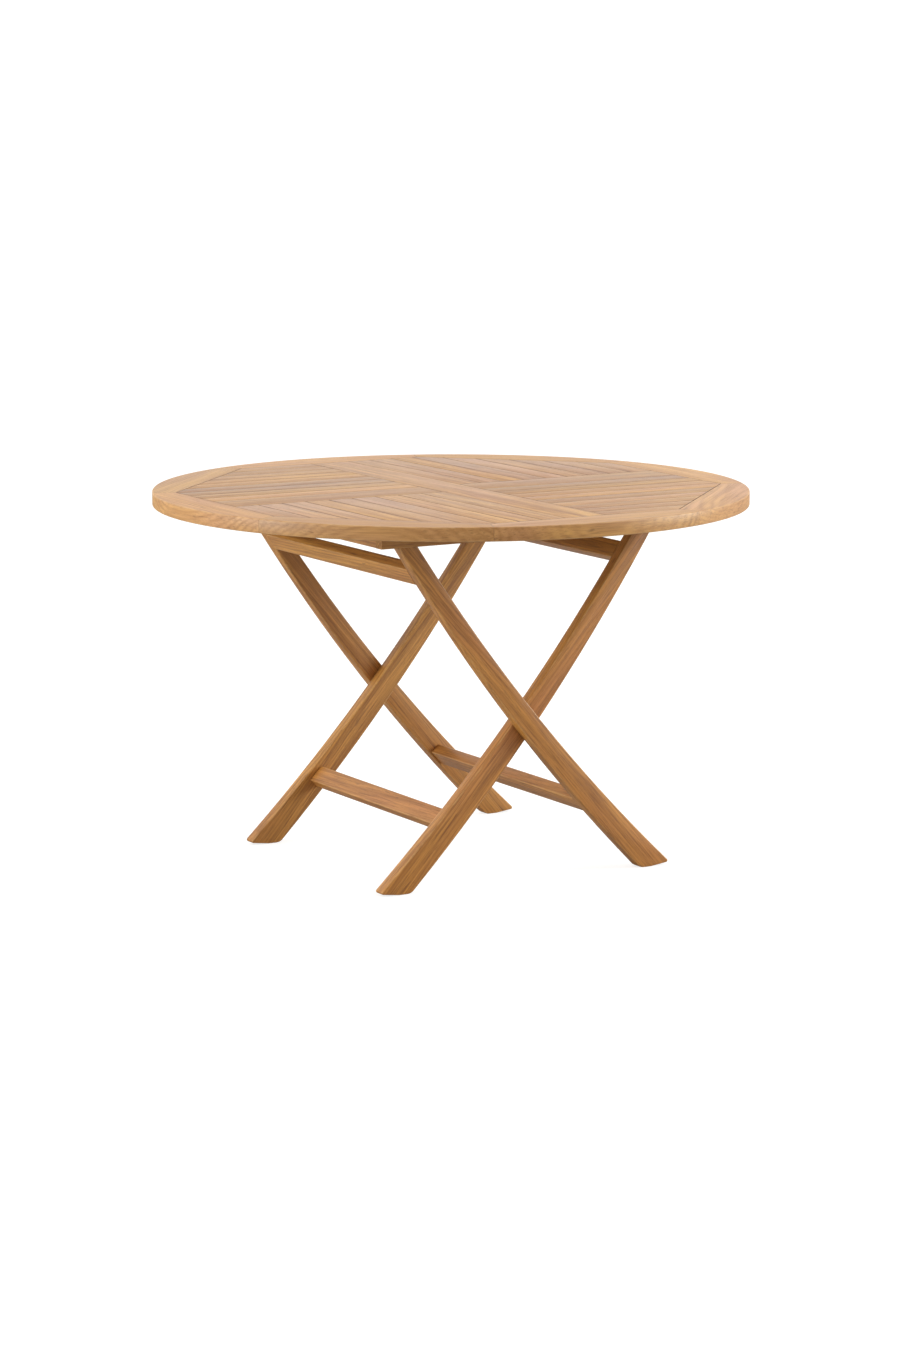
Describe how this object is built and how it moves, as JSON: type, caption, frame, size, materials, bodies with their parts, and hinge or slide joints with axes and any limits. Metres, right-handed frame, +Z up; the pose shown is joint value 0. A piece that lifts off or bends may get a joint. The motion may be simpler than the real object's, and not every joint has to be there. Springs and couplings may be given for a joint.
{
  "type": "folding picnic table",
  "caption": "Round slatted wooden table top with an octagonal inlay on two crossed, curved leg frames that fold like scissors while the top tilts up.",
  "frame": {"origin": "on the ground, under the middle of the round top", "axes": "+Z up; Y along the hinge and pivot axes; the top is hinged to the outer legs at -X and rests on the inner legs at +X"},
  "size_m": [1.2, 1.2, 0.75],
  "materials": {
    "teak_boards": "pale oiled teak, slats and cross boards",
    "teak_rim": "pale oiled teak, rim",
    "teak_batten": "oiled teak, battens and splines",
    "teak_frame": "oiled teak, legs and rails",
    "steel": "stainless steel bolts, pins and screws",
    "brass": "dull brass inserts and washers"
  },
  "bodies": {
    "outer_frame": {"outer_leg_front": "teak_frame", "outer_leg_back": "teak_frame", "outer_top_rail": "teak_frame", "outer_foot_rail": "teak_frame", "pivot_pins": "steel", "pivot_washers": "brass", "pivot_inserts": "brass"},
    "top": {"rim_segment_1": "teak_rim", "rim_segment_2": "teak_rim", "rim_segment_3": "teak_rim", "rim_segment_4": "teak_rim", "rim_segment_5": "teak_rim", "rim_segment_6": "teak_rim", "rim_segment_7": "teak_rim", "rim_segment_8": "teak_rim", "slat_front_left_1": "teak_boards", "slat_front_left_2": "teak_boards", "slat_front_left_3": "teak_boards", "slat_front_left_4": "teak_boards", "slat_front_left_5": "teak_boards", "slat_front_left_6": "teak_boards", "slat_front_right_1": "teak_boards", "slat_front_right_2": "teak_boards", "slat_front_right_3": "teak_boards", "slat_front_right_4": "teak_boards", "slat_front_right_5": "teak_boards", "slat_front_right_6": "teak_boards", "slat_back_right_1": "teak_boards", "slat_back_right_2": "teak_boards", "slat_back_right_3": "teak_boards", "slat_back_right_4": "teak_boards", "slat_back_right_5": "teak_boards", "slat_back_right_6": "teak_boards", "slat_back_left_1": "teak_boards", "slat_back_left_2": "teak_boards", "slat_back_left_3": "teak_boards", "slat_back_left_4": "teak_boards", "slat_back_left_5": "teak_boards", "slat_back_left_6": "teak_boards", "end_slats_front_left": "teak_boards", "end_slats_front_right": "teak_boards", "end_slats_back_right": "teak_boards", "end_slats_back_left": "teak_boards", "rim_splines": "teak_batten", "cross_board_long": "teak_boards", "cross_board_left": "teak_boards", "cross_board_right": "teak_boards", "long_batten_front": "teak_batten", "long_batten_back": "teak_batten", "hinge_side_batten": "teak_batten", "stop_batten": "teak_batten", "batten_screws": "steel", "hinge_bolts": "steel", "hinge_washers": "brass", "hinge_inserts": "brass"},
    "inner_frame": {"inner_leg_front": "teak_frame", "inner_leg_back": "teak_frame", "inner_top_rail": "teak_frame", "inner_foot_rail": "teak_frame"}
  },
  "joints": [
    {"name": "top_tilt", "type": "hinge", "parent": "outer_frame", "child": "top", "pos_m": [-0.295, 0, 0.7123], "axis": [0, -1, 0], "range_deg": [0, 40]},
    {"name": "leg_fold", "type": "hinge", "parent": "outer_frame", "child": "inner_frame", "pos_m": [0, 0, 0.31339], "axis": [0, -1, 0], "range_deg": [0, 70]}
  ],
  "couplings": [
    {"joint": "leg_fold", "follows": "top_tilt", "ratio": 1.75}
  ]
}
